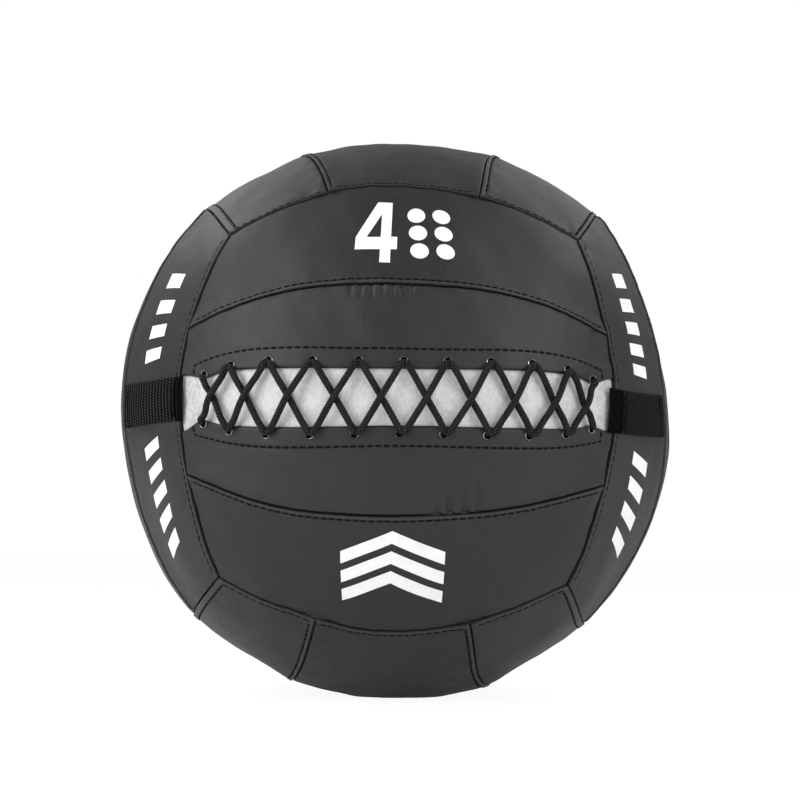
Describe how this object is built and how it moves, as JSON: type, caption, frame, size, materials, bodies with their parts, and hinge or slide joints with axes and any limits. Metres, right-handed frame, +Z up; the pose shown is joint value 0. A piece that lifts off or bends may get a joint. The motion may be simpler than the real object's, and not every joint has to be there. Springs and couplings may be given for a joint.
{
  "type": "wall ball",
  "caption": "Soft weighted ball for throwing against a wall, with a sewn synthetic leather skin and a laced front opening.",
  "frame": {"origin": "middle of the flat that the ball rests on, straight under its centre", "axes": "+Z up, the laced front faces -Y, +X to the right of someone who looks at the front"},
  "size_m": [0.3484, 0.3576, 0.3527],
  "materials": {
    "skin": "satin",
    "tongue": "matte",
    "lace": "matte",
    "webbing": "matte",
    "thread": "matte",
    "print": "satin",
    "eyelet": "gloss",
    "foam": "matte",
    "liner": "matte",
    "filling": "matte",
    "canvas": "matte",
    "sand": "matte"
  },
  "bodies": {
    "root": {"front_upper_strip": "skin", "front_lower_strip": "skin", "back_upper_strip": "skin", "back_middle_strip": "skin", "back_lower_strip": "skin", "top_left_strip": "skin", "top_middle_strip": "skin", "top_right_strip": "skin", "bottom_left_strip": "skin", "bottom_middle_strip": "skin", "bottom_right_strip": "skin", "left_front_strip": "skin", "left_middle_strip": "skin", "left_back_strip": "skin", "right_front_strip": "skin", "right_middle_strip": "skin", "right_back_strip": "skin", "closure_flap_upper": "skin", "closure_flap_lower": "skin", "tongue": "tongue", "eyelet_upper_01": "eyelet", "eyelet_upper_02": "eyelet", "eyelet_upper_03": "eyelet", "eyelet_upper_04": "eyelet", "eyelet_upper_05": "eyelet", "eyelet_upper_06": "eyelet", "eyelet_upper_07": "eyelet", "eyelet_upper_08": "eyelet", "eyelet_upper_09": "eyelet", "eyelet_upper_10": "eyelet", "eyelet_upper_11": "eyelet", "eyelet_lower_01": "eyelet", "eyelet_lower_02": "eyelet", "eyelet_lower_03": "eyelet", "eyelet_lower_04": "eyelet", "eyelet_lower_05": "eyelet", "eyelet_lower_06": "eyelet", "eyelet_lower_07": "eyelet", "eyelet_lower_08": "eyelet", "eyelet_lower_09": "eyelet", "eyelet_lower_10": "eyelet", "eyelet_lower_11": "eyelet", "lace_rising": "lace", "lace_falling": "lace", "side_tab_left": "webbing", "side_tab_right": "webbing", "padding": "foam", "liner_bag": "liner", "filling_upper": "filling", "filling_lower": "filling", "ballast_bag": "canvas", "ballast_sand": "sand"}
  },
  "joints": []
}
